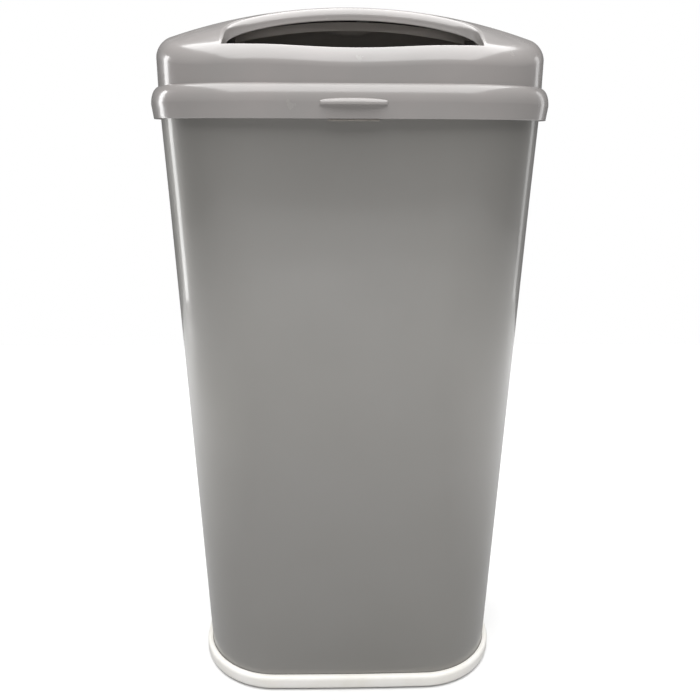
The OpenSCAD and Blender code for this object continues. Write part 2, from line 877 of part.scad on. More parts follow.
module track_screw_at(a) {
  x = (track_inner_x + 1 + track_x + track_t) / 2;
  about_axis() rotate([-a, 0, 0])
    translate([x, 0, hood_radius(x) - door_drop + track_gap]) children();
}

module track_with_holes() {
  difference() {
    track();
    for (a = hanger_angles) track_screw_at(a) {
      cylinder(r = screw_r + screw_gap, h = track_t + 1);
      translate([0, 0, -1]) cylinder(r = track_head_r + screw_gap, h = 1 + track_head_z);
    }
  }
}

module track_right() {
  color("gray") track_with_holes();
}

module track_left() {
  color("gray") mirror([1, 0, 0]) track_with_holes();
}

module track_screws() {
  color("silver") for (side = [0, 1]) mirror([side, 0, 0])
    for (a = hanger_angles) track_screw_at(a) translate([0, 0, track_head_z]) {
      cylinder(r = screw_r - screw_gap, h = track_t + 2);
      translate([0, 0, -track_head_h]) cylinder(r = track_head_r, h = track_head_h);
    }
}

module sliding_door() {
  dish_ball = (dish_r * dish_r + dish_deep * dish_deep) / (2 * dish_deep);
  color([0.70, 0.69, 0.69]) intersection() {
    opened() difference() {
      union() {
        intersection() {
          curved_shell(door_drop, door_drop + door_t, door_edge_x);
          slab(door_front_reach, rim_z, 4 * hood_rise);
          wedge(door_front_angle, door_rear_angle);
        }
        // Front lip that drops behind the front wall
        intersection() {
          curved_shell(door_drop, door_drop + door_lip, door_edge_x - runner_w);
          difference() {
            slab(door_front_reach, rim_z, 4 * hood_rise);
            slab(door_front_reach - door_t, rim_z - 1, 5 * hood_rise);
          }
          wedge(door_front_angle, 0);
        }
        // Underside of the finger dish
        intersection() {
          dish_at(dish_ball) sphere(r = dish_ball + door_t);
          curved_shell(door_drop + door_t / 2, door_drop + door_t + dish_deep, 2 * dish_r);
        }
      }
      dish_at(dish_ball) sphere(r = dish_ball);
    }
    // The open door's rear corners stay clear of the hood's rear wall
    slab(door_back_reach, rim_z, 4 * hood_rise);
  }
}

module dish_at(ball) {
  about_axis() rotate([-dish_angle, 0, 0])
    translate([0, 0, hood_arc_r - door_drop + ball - dish_deep]) children();
}

// Four blocks that run in the tracks, one near each corner of the door
module door_runners() {
  color("white") opened() for (side = [0, 1], a = runner_angles)
    mirror([side, 0, 0]) intersection() {
      wedge(a - runner_span / 2, a + runner_span / 2);
      right_of(door_edge_x) curved_shell(door_drop, door_drop + door_t, door_half_w);
    }
}

// Block on the door that the lock's pawl stands behind
module lock_catch() {
  color("gray") opened() intersection() {
    curved_strip(catch_drop, door_drop, -lock_w / 2, lock_w);
    wedge(catch_angle, catch_angle + catch_span);
  }
}

// Soft wiper on the door's rear edge
module door_wiper() {
  edge = 0.3;
  color("dimgray") opened() intersection() {
    curved_shell(door_drop + edge, door_drop + door_t - edge, core_x);
    wedge(door_rear_angle, door_rear_angle + wiper_span);
  }
}

// ---------- child lock ----------

// Everything on the lock is drawn locked, in the middle, and slid to its free place
module unlocked() {
  translate([lock_travel, 0, 0]) children();
}

module lock_bar() {
  color("gray") unlocked() {
    intersection() {
      curved_strip(bar_drop, bar_drop + lock_t, -lock_w / 2, lock_w);
      wedge(pawl_angle, bar_end);
    }
    intersection() {
      curved_strip(bar_drop + lock_t - eps, pawl_drop, -lock_w / 2, lock_w);
      wedge(pawl_angle, pawl_angle + pawl_span);
    }
  }
}

module lock_knob() {
  ridge = 1;
  color("silver") unlocked() about_axis() rotate([-knob_angle, 0, 0]) {
    // Stem through the slot, standing on the bar
    translate([-lock_w / 2 + 1, -stem_len / 2, hood_arc_r - bar_drop])
      cube([lock_w - 2, stem_len, bar_drop + 1]);
    difference() {
      translate([-lock_w / 2 - 2, -knob_len / 2, hood_arc_r + fit_gap])
        cube([lock_w + 4, knob_len, knob_h]);
      for (i = [-2:2]) translate([2 * ridge * i - ridge / 2, -knob_len, hood_arc_r + knob_h])
        cube([ridge, 2 * knob_len, 2]);
    }
  }
}

// Thin leaf under the hood that the bar clicks along
module lock_leaf() {
  leaf_t = 0.6;
  top = hood_wall + fit_gap;
  color("silver") intersection() {
    right_of(-lock_w) curved_shell(top, top + leaf_t, lock_travel + lock_w);
    wedge(bar_end + 1, bar_end + 3);
  }
}

base_ring();
rubber_feet();
base_screws();
floor_plate();
body_shell();
top_frame();
bag_ring();
hinge_bracket_left();
hinge_bracket_right();
bracket_screws();
lid_rim();
lid_gasket();
latch_tongue();
tongue_rivets();
hinge_pin_left();
hinge_pin_right();
hood();
mouth_trim();
front_seal();
chute();
lid_screws();
track_left();
track_right();
track_screws();
lock_leaf();
sliding_door();
door_runners();
door_wiper();
lock_catch();
lock_knob();
lock_bar();
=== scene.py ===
# Nappy bin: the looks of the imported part, in metres, in the part's own frame.
import json
import math

import bmesh
import bpy
from mathutils import Matrix, Vector

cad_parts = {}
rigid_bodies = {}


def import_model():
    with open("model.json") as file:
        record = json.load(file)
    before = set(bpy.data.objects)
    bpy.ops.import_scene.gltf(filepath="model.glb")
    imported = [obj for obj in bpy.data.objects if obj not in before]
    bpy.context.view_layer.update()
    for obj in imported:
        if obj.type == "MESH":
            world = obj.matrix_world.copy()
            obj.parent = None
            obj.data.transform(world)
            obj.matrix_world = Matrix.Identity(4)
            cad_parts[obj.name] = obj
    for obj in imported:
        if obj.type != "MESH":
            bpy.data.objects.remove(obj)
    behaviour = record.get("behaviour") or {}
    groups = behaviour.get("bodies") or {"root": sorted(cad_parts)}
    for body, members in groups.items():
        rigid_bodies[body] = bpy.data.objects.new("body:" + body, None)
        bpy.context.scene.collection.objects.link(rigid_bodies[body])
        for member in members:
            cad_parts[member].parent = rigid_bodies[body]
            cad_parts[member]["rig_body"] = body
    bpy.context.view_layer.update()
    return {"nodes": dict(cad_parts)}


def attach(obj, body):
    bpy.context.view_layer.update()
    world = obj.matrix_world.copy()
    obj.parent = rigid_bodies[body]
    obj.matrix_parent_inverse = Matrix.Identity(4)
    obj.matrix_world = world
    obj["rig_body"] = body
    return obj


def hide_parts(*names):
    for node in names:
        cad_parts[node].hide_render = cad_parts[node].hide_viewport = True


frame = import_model()

# ---------------------------------------------------------------- camera
# A pinhole camera at the photograph's viewpoint, found by fitting the bin's outlines: a
# little below the rim, 0.7 m in front of the bin's middle and looking down.
PITCH = 0.29
YAW = 0.026
TILT = 0.005
EYE = (-0.01692, -0.70466, 0.52735)
forward = Vector((
    math.sin(YAW) * math.cos(PITCH),
    math.cos(YAW) * math.cos(PITCH),
    -math.sin(PITCH),
))
level = Vector((math.cos(YAW), -math.sin(YAW), 0))
upward = level.cross(forward)
right = level * math.cos(TILT) + upward * math.sin(TILT)
upward = -level * math.sin(TILT) + upward * math.cos(TILT)
camera_data = bpy.data.cameras.new("camera")
camera_data.lens = 38.0
camera_data.sensor_width = 36.0
camera_data.clip_start = 0.01
camera = bpy.data.objects.new("camera", camera_data)
bpy.context.scene.collection.objects.link(camera)
camera.matrix_world = Matrix((
    (right.x, upward.x, -forward.x, EYE[0]),
    (right.y, upward.y, -forward.y, EYE[1]),
    (right.z, upward.z, -forward.z, EYE[2]),
    (0, 0, 0, 1),
))
bpy.context.scene.camera = camera
bpy.context.scene.view_settings.view_transform = "Standard"

# ---------------------------------------------------------------- studio
# White surroundings, one wide soft light overhead, a weak one low in front and a narrow
# strip at each side. They give an even grey with soft bright bands along the sides.
def put(tree, kind, links=(), **settings):
    """Adds a node; a setting is an attribute of it or else an input."""
    made = tree.nodes.new(kind)
    for key, value in settings.items():
        if hasattr(made, key):
            setattr(made, key, value)
        else:
            made.inputs[key.replace("_", " ")].default_value = value
    for socket, source in dict(links).items():
        tree.links.new(source, made.inputs[socket])
    return made


def linear(hex_colour):
    """An sRGB hex colour as linear values."""
    values = [int(hex_colour[i:i + 2], 16) / 255 for i in (0, 2, 4)]
    values = [v / 12.92 if v <= 0.04045 else ((v + 0.055) / 1.055) ** 2.4 for v in values]
    return (*values, 1.0)


def mixed_shader(tree, factor, first, second):
    """The first shader where the factor is 0, the second where it is 1."""
    links = {0: factor, 1: first.outputs[0], 2: second.outputs[0]}
    return put(tree, "ShaderNodeMixShader", links)


# The camera sees white all round; everything else gets a weak even light from there.
world = bpy.data.worlds.new("studio")
bpy.context.scene.world = world
world.use_nodes = True
tree = world.node_tree
tree.nodes.clear()
seen = put(tree, "ShaderNodeLightPath")
ambient = put(tree, "ShaderNodeBackground", Color=linear("ffffff"), Strength=0.14)
white = put(tree, "ShaderNodeBackground", Color=linear("ffffff"), Strength=1.0)
shown = mixed_shader(tree, seen.outputs["Is Camera Ray"], ambient, white)
put(tree, "ShaderNodeOutputWorld", {"Surface": shown.outputs[0]})


def area_light(name, size, power, place, target):
    """A rectangular light of a size in metres and a power in watts, aimed at a point."""
    data = bpy.data.lights.new(name, "AREA")
    data.shape = "RECTANGLE"
    data.size, data.size_y = size
    data.energy = power
    light = bpy.data.objects.new(name, data)
    bpy.context.scene.collection.objects.link(light)
    aim = Vector(target) - Vector(place)
    turned = aim.to_track_quat("-Z", "Y").to_matrix().to_4x4()
    light.matrix_world = Matrix.Translation(place) @ turned
    return light


area_light("overhead", (3.2, 3.6), 128, place=(0, -0.35, 2.3), target=(0, -0.35, 0.4))
low_fill = area_light("low_fill", (1.4, 0.3), 6.0, place=(-0.1, -1.9, 0.40), target=(0, 0, 0.60))
low_fill.visible_glossy = False
area_light("strip_left", (0.2, 1.0), 3.2, place=(-1.2, 0.6, 0.55), target=(0, 0, 0.4))
area_light("strip_right", (0.2, 1.0), 0.9, place=(1.15, 0.75, 0.55), target=(0, 0, 0.4))

# ---------------------------------------------------------------- floor
# A pale painted studio floor, most of it in front of the bin. It is white where it is
# seen and greyer for the light that it throws back; the bin mirrors a grey patch of it.
FLOOR_SCALE = (2.8, 2.2, 1)
FLOOR_Y = -1.1
floor_mesh = bpy.data.meshes.new("floor")
shape = bmesh.new()
bmesh.ops.create_grid(shape, x_segments=4, y_segments=4, size=1)
bmesh.ops.scale(shape, vec=FLOOR_SCALE, verts=shape.verts)
bmesh.ops.translate(shape, vec=(0, FLOOR_Y, 0), verts=shape.verts)
shape.to_mesh(floor_mesh)
shape.free()
floor = bpy.data.objects.new("floor", floor_mesh)
bpy.context.scene.collection.objects.link(floor)


def between(tree, value, low, high, from_min=0.3, from_max=0.7):
    """Maps a value onto a range; unless told, the value is a noise."""
    made = put(tree, "ShaderNodeMapRange", {"Value": value})
    made.inputs["From Min"].default_value = from_min
    made.inputs["From Max"].default_value = from_max
    made.inputs["To Min"].default_value = low
    made.inputs["To Max"].default_value = high
    return made.outputs[0]


floor_paint = bpy.data.materials.new("pale_floor")
floor_paint.use_nodes = True
tree = floor_paint.node_tree
tree.nodes.clear()
seen = put(tree, "ShaderNodeLightPath")
plain = put(tree, "ShaderNodeBsdfDiffuse", Color=linear("b0b0b0"))
bright = put(tree, "ShaderNodeBsdfDiffuse", Color=linear("f6f6f6"))
patch = put(tree, "ShaderNodeBsdfDiffuse", Color=linear("bcbcbc"))
place = put(tree, "ShaderNodeTexCoord").outputs["Object"]
ground = put(tree, "ShaderNodeSeparateXYZ", {0: place})
aside = put(tree, "ShaderNodeMath", {0: ground.outputs["X"]}, operation="ABSOLUTE")
close = between(tree, ground.outputs["Y"], 0, 1, from_min=-1.30, from_max=-0.40)
inside = between(tree, aside.outputs[0], 0, 1, from_min=0.75, from_max=0.30)
share = put(tree, "ShaderNodeMath", {0: close, 1: inside}, operation="MULTIPLY")
mirrored = mixed_shader(tree, share.outputs[0], bright, patch)
unseen = mixed_shader(tree, seen.outputs["Is Glossy Ray"], plain, mirrored)
shown = mixed_shader(tree, seen.outputs["Is Camera Ray"], unseen, bright)
put(tree, "ShaderNodeOutputMaterial", {"Surface": shown.outputs[0]})
floor_mesh.materials.append(floor_paint)

# ---------------------------------------------------------------- base ring
# White moulded polypropylene ring with a rolled upper edge, in which the body stands. One
# closed section is led round the outline in plan, whose front side bows out a little.
# Half the core rectangle, from which every outline keeps a constant distance.
CORE_X, CORE_Y = 0.074, 0.029
# The bow's height, how far its ends lie back, half its width, and its run-in from the sides.
BOW, BOW_BACK, BOW_HALF_W, BOW_RUN_IN = 0.0036, 0.0018, 0.165, 0.03


def bow(x, y, share=1.0):
    """Moves the middle of the front side outwards and its ends a little back."""
    front = min(1.0, max(0.0, (-y - CORE_Y) / BOW_RUN_IN))
    out = BOW * max(0.0, 1 - (x / BOW_HALF_W) ** 2) - BOW_BACK
    return y - out * share * front * front * (3 - 2 * front)


def outline(reach, corner=28, long=28, short=10):
    """Points of the rounded rectangle, anticlockwise from the right side's rear end."""
    signs = ((1, 1), (-1, 1), (-1, -1), (1, -1))

    def on_corner(i, a):
        sx, sy = signs[i % 4]
        return CORE_X * sx + reach * math.cos(a), CORE_Y * sy + reach * math.sin(a)

    points = []
    for i in range(4):
        for k in range(corner + 1):
            points.append(on_corner(i, math.pi / 2 * (i + k / corner)))
        x, y = points[-1]
        end_x, end_y = on_corner(i + 1, math.pi / 2 * (i + 1))
        steps = long if i % 2 == 0 else short
        for k in range(1, steps):
            points.append((x + (end_x - x) * k / steps, y + (end_y - y) * k / steps))
    return points


def filleted(corners, steps=6):
    """A closed section of [reach, height, rounding] corners, as points in metres from mm."""
    points = []
    count = len(corners)
    for i, (px, py, r) in enumerate(corners):
        here = Vector((px, py))
        if r <= 0:
            points.append(here * 0.001)
            continue
        before = Vector(corners[i - 1][:2]) - here
        after = Vector(corners[(i + 1) % count][:2]) - here
        half = before.angle(after) / 2
        reach = r / math.tan(half)
        a, b = here + before.normalized() * reach, here + after.normalized() * reach
        halfway = (before.normalized() + after.normalized()).normalized()
        centre = here + halfway * (r / math.sin(half))
        ua, ub = a - centre, b - centre
        turn = ua.angle_signed(ub)
        for k in range(steps + 1):
            t = -turn * k / steps
            c, s = math.cos(t), math.sin(t)
            points.append((centre + Vector((ua.x * c - ua.y * s, ua.x * s + ua.y * c))) * 0.001)
    return points


def add_object(name, mesh, sharp=35):
    """Puts a mesh in the scene, smooth but for edges sharper than an angle in degrees."""
    mesh.shade_smooth()
    mesh.set_sharp_from_angle(angle=math.radians(sharp))
    made = bpy.data.objects.new(name, mesh)
    bpy.context.scene.collection.objects.link(made)
    return made


def skinned(shape, ring, following):
    """Joins two closed rings of equally many corners by a band of faces."""
    for i in range(len(ring)):
        k = (i + 1) % len(ring)
        shape.faces.new((ring[i], ring[k], following[k], following[i]))


def finished(name, shape, sharp=35):
    """Turns a form under construction into an object."""
    bmesh.ops.recalc_face_normals(shape, faces=shape.faces)
    mesh = bpy.data.meshes.new(name)
    shape.to_mesh(mesh)
    shape.free()
    return add_object(name, mesh, sharp)


def led_round(name, section, share=lambda z: 1.0):
    """Leads a closed section of [reach, height] points round the outline."""
    shape = bmesh.new()
    rings = []
    for reach, z in section:
        rings.append([shape.verts.new((x, bow(x, y, share(z)), z)) for x, y in outline(reach)])
    for ring, following in zip(rings, rings[1:] + rings[:1]):
        skinned(shape, ring, following)
    return finished(name, shape)


def finish_material(name, colour, roughness, **settings):
    """A Principled material; returns it with its tree, shader and object coordinates."""
    paint = bpy.data.materials.new(name)
    paint.use_nodes = True
    tree = paint.node_tree
    tree.nodes.clear()
    shader = put(tree, "ShaderNodeBsdfPrincipled", Roughness=roughness, **settings)
    shader.inputs["Base Color"].default_value = linear(colour)
    put(tree, "ShaderNodeOutputMaterial", {"Surface": shader.outputs[0]})
    place = put(tree, "ShaderNodeTexCoord").outputs["Object"]
    return paint, tree, shader, place


def noise(tree, place, size_mm, detail=2.0, stretch=(1, 1, 1), rough=0.5):
    """Noise whose grain is about that many millimetres across."""
    scale = tuple(1000 / size_mm / s for s in stretch)
    moved = put(tree, "ShaderNodeMapping", {"Vector": place}, Scale=scale)
    links = {"Vector": moved.outputs[0]}
    grain = put(tree, "ShaderNodeTexNoise", links, Scale=1.0, Detail=detail, Roughness=rough)
    return grain.outputs["Fac"]


def tinted(tree, shader, factor, first, second):
    """Blends two colours by a factor into the base colour."""
    mixed = put(tree, "ShaderNodeMix", {0: factor}, data_type="RGBA")
    mixed.inputs[6].default_value = linear(first)
    mixed.inputs[7].default_value = linear(second)
    tree.links.new(mixed.outputs[2], shader.inputs["Base Color"])


def varied(tree, shader, grain, low, high, **ends):
    """Lets the roughness wander between two values."""
    tree.links.new(between(tree, grain, low, high, **ends), shader.inputs["Roughness"])


def bumped(tree, shader, layers):
    """Stacks bumps of [height value, depth in mm] onto the shader's normal."""
    normal = None
    for value, depth in layers:
        links = {"Height": value}
        if normal is not None:
            links["Normal"] = normal
        bump = put(tree, "ShaderNodeBump", links, Strength=1.0, Distance=depth * 0.001)
        normal = bump.outputs[0]
    tree.links.new(normal, shader.inputs["Normal"])


base_section = filleted([
    (74.7, 1.5, 3.2), (74.7, 15.0, 3.6), (69.6, 15.0, 0.4), (69.1, 5.5, 0),
    (47.0, 5.5, 0.8), (47.0, 1.5, 0.8),
])
base_ring = led_round("base_ring_moulding", base_section)
# Satin white polypropylene: a soft sheen, and a tone that clouds a little from place to
# place, so that the ring reads as moulded plastic and not as paper white.
white_plastic, tree, shader, place = finish_material(
    "satin_white_polypropylene", "ebe8e1", 0.36, IOR=1.49)
cloud = noise(tree, place, 30, 3)
tinted(tree, shader, between(tree, cloud, 0, 1), "fbf9f5", "f4f1ea")
varied(tree, shader, noise(tree, place, 9, 4), 0.30, 0.46)
bumped(tree, shader, [(noise(tree, place, 0.7, 2), 0.012), (noise(tree, place, 14, 2), 0.05)])
base_ring.data.materials.append(white_plastic)
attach(base_ring, "bin")
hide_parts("base_ring")

# ---------------------------------------------------------------- body
# Painted steel sheet of 1 mm, folded to a tapered tube that stands on the base ring's
# ledge. Its section is led round the outline, and its bow fades out towards the rim.
BODY_REACH, BODY_REACH_Z = 0.0883, 0.535
BODY_TAPER = math.radians(2.1)
BODY_FOOT_MM, BODY_TOP_MM, BODY_ROWS = 5.5, 549, 46
SHEET = 0.001
BOW_TOP_Z, BOW_FADE = 0.528, 0.06


def body_reach(z):
    """How far the body's wall lies from the core rectangle at a height."""
    return BODY_REACH + (z - BODY_REACH_Z) * math.tan(BODY_TAPER)


def body_bow(z):
    """The bow's share at a height."""
    return min(1.0, max(0.0, (BOW_TOP_Z - z) / BOW_FADE))


rise = BODY_TOP_MM - BODY_FOOT_MM
heights = [BODY_FOOT_MM + rise * k / BODY_ROWS for k in range(BODY_ROWS + 1)]
body_section = [(body_reach(z * 0.001), z * 0.001) for z in heights]
body_section += [(body_reach(z * 0.001) - SHEET, z * 0.001) for z in reversed(heights)]
body = led_round("body_sheet", body_section, body_bow)
# Stoved enamel: a warm grey with a metallic depth under a thin clear coat. A faint orange
# peel breaks up what it mirrors, and slow waves show that pressed sheet is under it.
enamel, tree, shader, place = finish_material(
    "stoved_enamel_on_steel", "8e8c89", 0.36,
    Metallic=0.4, IOR=1.5, Coat_Weight=0.5, Coat_Roughness=0.08)
cloud = noise(tree, place, 160, 2)
tinted(tree, shader, between(tree, cloud, 0, 1), "8f8d8a", "8c8a86")
varied(tree, shader, noise(tree, place, 60, 3), 0.34, 0.39)
bumped(tree, shader, [(noise(tree, place, 1.8, 2), 0.004), (noise(tree, place, 85, 1), 0.2)])
body.data.materials.append(enamel)
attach(body, "bin")
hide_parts("body_shell")

# ---------------------------------------------------------------- lid rim
# Gloss moulded ABS band with a softly rounded upper edge and the crescent finger tab in
# front. One section is led round the outline; the tab stands out from it.
rim_section = filleted([
    (86.8, 561.0, 0), (78.2, 561.0, 0), (78.2, 558.0, 0), (86.8, 558.0, 1.0), (92.4, 549.0, 1.0),
    (92.4, 535.0, 0.4), (94.7, 535.0, 0.6),
])
# Its outer face is a quarter of an ellipse in millimetres, from the widest point up.
ROUND_REACH, ROUND_WIDTH, ROUND_POWER = 87.0, 8.9, 0.9
ROUND_Z, ROUND_HEIGHT, ROUND_STEPS = 546.5, 14.5, 16
for step in range(ROUND_STEPS + 1):
    a = math.pi / 2 * step / ROUND_STEPS
    reach = ROUND_REACH + ROUND_WIDTH * math.cos(a) ** ROUND_POWER
    z = ROUND_Z + ROUND_HEIGHT * math.sin(a)
    rim_section.append((reach * 0.001, z * 0.001))
lid_rim = led_round("lid_rim_moulding", rim_section)


def rounded_strip(name, stations, sharp=35):
    """Joins sections of equal length into one closed form with capped ends."""
    shape = bmesh.new()
    rings = [[shape.verts.new(p) for p in station] for station in stations]
    for ring, following in zip(rings, rings[1:]):
        skinned(shape, ring, following)
    shape.faces.new(rings[0])
    shape.faces.new(rings[-1])
    return finished(name, shape, sharp)


# The tab's half width, where its crescent would end, and how far it stands out.
TAB_HALF_W, TAB_TIP_X, TAB_OUT, TAB_LEAST_OUT = 0.0254, 0.0256, 0.0036, 0.0002
# Its back inside the rim, the rim's face, and the front of the part, which it keeps to.
TAB_BACK_Y, TAB_FACE_Y, FRONT_Y = -0.122, -0.1244, -0.13
# Its underside, its top at the tips, how much it swells to its middle, and its thin edge.
TAB_LOW, TAB_TOP, TAB_SWELL, TAB_EDGE = 0.5450, 0.5478, 0.0022, 0.0006
stations = []
for k in range(41):
    x = TAB_HALF_W * math.sin(math.pi / 2 * (k - 20) / 20)
    share = 1 - (x / TAB_TIP_X) ** 2
    face = bow(x, TAB_FACE_Y)
    out = max(face - TAB_LEAST_OUT - TAB_OUT * share ** 0.35, FRONT_Y)
    top = TAB_TOP + TAB_SWELL * share ** 0.5
    station = [(x, TAB_BACK_Y, TAB_LOW), (x, TAB_BACK_Y, top)]
    for step in range(9):
        a = math.pi / 2 * step / 8
        y = face + (out - face) * math.sin(a)
        z = TAB_LOW + TAB_EDGE + (top - TAB_LOW - TAB_EDGE) * math.cos(a)
        station.append((x, y, z))
    station.append((x, out + TAB_EDGE, TAB_LOW))
    stations.append(station)
tab = rounded_strip("finger_tab", stations)
# Gloss moulded ABS: clear soft-edged highlights on a light warm grey. Wiped patches and
# hair scratches blur them here and there, and the surface sinks a little as it cools.
abs_gloss, tree, shader, place = finish_material(
    "gloss_moulded_abs", "9c9997", 0.2, IOR=1.53, Coat_Weight=0.35, Coat_Roughness=0.05)
cloud = noise(tree, place, 60, 3)
tinted(tree, shader, between(tree, cloud, 0, 1), "9f9a98", "999694")
varied(tree, shader, noise(tree, place, 18, 5, rough=0.6), 0.15, 0.28)
scratch = noise(tree, place, 0.9, 1, stretch=(30, 1, 6))
scratch = between(tree, scratch, 0, 1, from_min=0.62, from_max=0.7)
bumped(tree, shader, [(scratch, 0.0008), (noise(tree, place, 38, 1), 0.10)])
for piece in (lid_rim, tab):
    piece.data.materials.append(abs_gloss)
    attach(piece, "lid")
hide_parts("lid_rim")

# ---------------------------------------------------------------- hood
# Gloss moulded ABS dome, screwed to the rim from below. Spokes run from its wall to the
# edge of the mouth; each carries the outer skin, the mouth's rounded edge and the lining.
# The wall's reach, the rounding of the dome's edge, the wall's thickness and its foot.
HOOD_REACH, HOOD_ROUND, HOOD_WALL, HOOD_FOOT_Z = 0.0892, 0.011, 0.0025, 0.5590
# The dome's radii from front to back and from side to side, its crown and its axis.
ARC_R, ARCH_R, CROWN_Y, AXIS_Z = 0.262, 0.500, 0.012, 0.3665
# Where the front lip ends, before and with its rounding.
LIP_REACH = 0.0807
LIP_EDGE = LIP_REACH + 0.0006
# The lip's dip: how deep, half its width, its curve, where it starts, and its run-in.
DIP_DEPTH, DIP_HALF_W, DIP_POWER = 0.0118, 0.104, 1.8
DIP_START, DIP_RUN_IN = 0.026, 0.018
# The mouth: its rear arc's radius and middle, half its width, and its corners.
MOUTH_R, MOUTH_Y, MOUTH_HALF_W, MOUTH_CORNER_R = 0.170, -0.204, 0.099, 0.032
MOUTH_CORNER_X = MOUTH_HALF_W - MOUTH_CORNER_R
MOUTH_CORNER_Y = MOUTH_Y + math.sqrt((MOUTH_R - MOUTH_CORNER_R) ** 2 - MOUTH_CORNER_X ** 2)
MOUTH_TURN = math.atan2(MOUTH_CORNER_Y - MOUTH_Y, MOUTH_CORNER_X)
# The width of the trim's roll round the mouth, at the rear and at the sides.
ROLL, ROLL_SIDE = 0.0068, 0.0014
# The spokes' origin, how many there are, and the steps along each and how they crowd.
MOUTH_MIDDLE = (0.0, -0.068)
SPOKES, SKIN_STEPS, SKIN_POWER = 300, 30, 2.1


def reach_of(x, y):
    """How far a point lies from the core rectangle."""
    dx, dy = abs(x) - CORE_X, abs(y) - CORE_Y
    return math.hypot(max(dx, 0), max(dy, 0)) if max(dx, dy) > 0 else max(dx, dy)


def dip(x, y):
    """The front edge's dip: deepest in the middle, gone a little behind the edge."""
    t = min(1.0, max(0.0, (-y - CORE_Y - LIP_REACH + DIP_START) / DIP_RUN_IN))
    depth = DIP_DEPTH * max(0.0, 1 - (x / DIP_HALF_W) ** 2) ** DIP_POWER
    return depth * t * t * (3 - 2 * t)


def dome(x, y):
    """Height of the dome's outside, before its edge is rounded."""
    radius = ARC_R - ARCH_R + math.sqrt(ARCH_R ** 2 - x * x)
    return AXIS_Z + math.sqrt(radius ** 2 - (y - CROWN_Y) ** 2) - dip(x, y)


def hood_top(x, y):
    """Height of the dome's outside with its rounded edge."""
    inset = min(HOOD_ROUND, max(0.0, reach_of(x, y) - (HOOD_REACH - HOOD_ROUND)))
    return dome(x, y) - HOOD_ROUND + math.sqrt(max(0.0, HOOD_ROUND ** 2 - inset ** 2))


def from_mouth(x, y):
    """Distance of a point outside the mouth's plan, and how far that edge faces the rear."""
    if y <= MOUTH_CORNER_Y:
        return abs(x) - MOUTH_HALF_W, 0.0
    if math.atan2(y - MOUTH_Y, abs(x)) < MOUTH_TURN:
        length = math.hypot(abs(x) - MOUTH_CORNER_X, y - MOUTH_CORNER_Y)
        return length - MOUTH_CORNER_R, (y - MOUTH_CORNER_Y) / length
    length = math.hypot(x, y - MOUTH_Y)
    return length - MOUTH_R, (y - MOUTH_Y) / length


def roll_width(facing):
    """Width of the mouth's rolled edge: full at the rear, small at the sides."""
    return ROLL_SIDE + (ROLL - ROLL_SIDE) * max(0.0, facing) ** 1.5


def past_mouth(x, y):
    """Whether a point has left the mouth, where the hood's skin starts."""
    distance, facing = from_mouth(x, y)
    return distance > roll_width(facing) or (reach_of(x, y) > LIP_EDGE and y < 0)


def past_wall(x, y):
    """Whether a point has come to the hood's wall."""
    return reach_of(x, y) > HOOD_REACH - 0.00001


def in_plan(ray, s):
    """Where a spoke is in plan, at a distance from its origin."""
    return MOUTH_MIDDLE[0] + ray[0] * s, MOUTH_MIDDLE[1] + ray[1] * s


def where(ray, outside):
    """How far along a spoke a test first holds."""
    low, high = 0.0, 0.4
    for _ in range(40):
        middle = (low + high) / 2
        if outside(*in_plan(ray, middle)):
            high = middle
        else:
            low = middle
    return high


def on_dome(ray, s):
    """The dome's point over a spoke, at a distance from its origin."""
    x, y = in_plan(ray, s)
    return Vector((x, y, hood_top(x, y)))


def dome_normal(p, h=0.0002):
    """The dome's normal at a point."""
    gx = (hood_top(p.x + h, p.y) - hood_top(p.x - h, p.y)) / (2 * h)
    gy = (hood_top(p.x, p.y + h) - hood_top(p.x, p.y - h)) / (2 * h)
    return Vector((-gx, -gy, 1)).normalized()


def wall_normal(p):
    """The wall's normal at a point."""
    ux = max(abs(p.x) - CORE_X, 0) * math.copysign(1, p.x)
    uy = max(abs(p.y) - CORE_Y, 0) * math.copysign(1, p.y)
    return Vector((ux, uy, 0)).normalized()


# Even angles, but for one spoke moved into each of the mouth's front corners.
angles = [2 * math.pi * k / SPOKES for k in range(SPOKES)]
tip_x = MOUTH_HALF_W + ROLL_SIDE
tip_y = -CORE_Y - math.sqrt(LIP_EDGE ** 2 - (tip_x - CORE_X) ** 2)
tip = math.atan2(tip_y - MOUTH_MIDDLE[1], tip_x)
for tip_angle in (tip % (2 * math.pi), (math.pi - tip) % (2 * math.pi)):
    nearest = min(range(SPOKES), key=lambda k: abs(angles[k] - tip_angle))
    angles[nearest] = tip_angle
shape = bmesh.new()
spokes = []
for angle in angles:
    ray = (math.cos(angle), math.sin(angle))
    inner, outer = where(ray, past_mouth), where(ray, past_wall)
    skin, lining = [], []
    for j in range(SKIN_STEPS + 1):
        s = outer - (outer - inner) * (j / SKIN_STEPS) ** SKIN_POWER
        p = on_dome(ray, s)
        if j == 0:
            n = wall_normal(p)
        else:
            n = dome_normal(on_dome(ray, min(s, outer - 0.0004)))
        skin.append(p)
        lining.append(p - n * HOOD_WALL)
    # The edge of the mouth is a half round: fuller at the lip than under the trim.
    distance, facing = from_mouth(*in_plan(ray, inner))
    at_lip = distance < roll_width(facing) - 0.0001
    fullness = 0.0006 if at_lip else 0.0002
    n = dome_normal(on_dome(ray, inner))
    along = (on_dome(ray, inner) - on_dome(ray, inner + 0.0005)).normalized()
    edge = []
    for step in range(1, 8):
        a = math.pi * step / 8
        across = n * (HOOD_WALL / 2 * math.cos(a))
        edge.append(skin[-1] - n * (HOOD_WALL / 2) + across + along * (fullness * math.sin(a)))
    foot, inner_foot = skin[0].copy(), lining[0].copy()
    foot.z = inner_foot.z = HOOD_FOOT_Z
    line = [foot] + skin + edge + lining[::-1] + [inner_foot]
    spokes.append([shape.verts.new((p.x, bow(p.x, p.y), p.z)) for p in line])
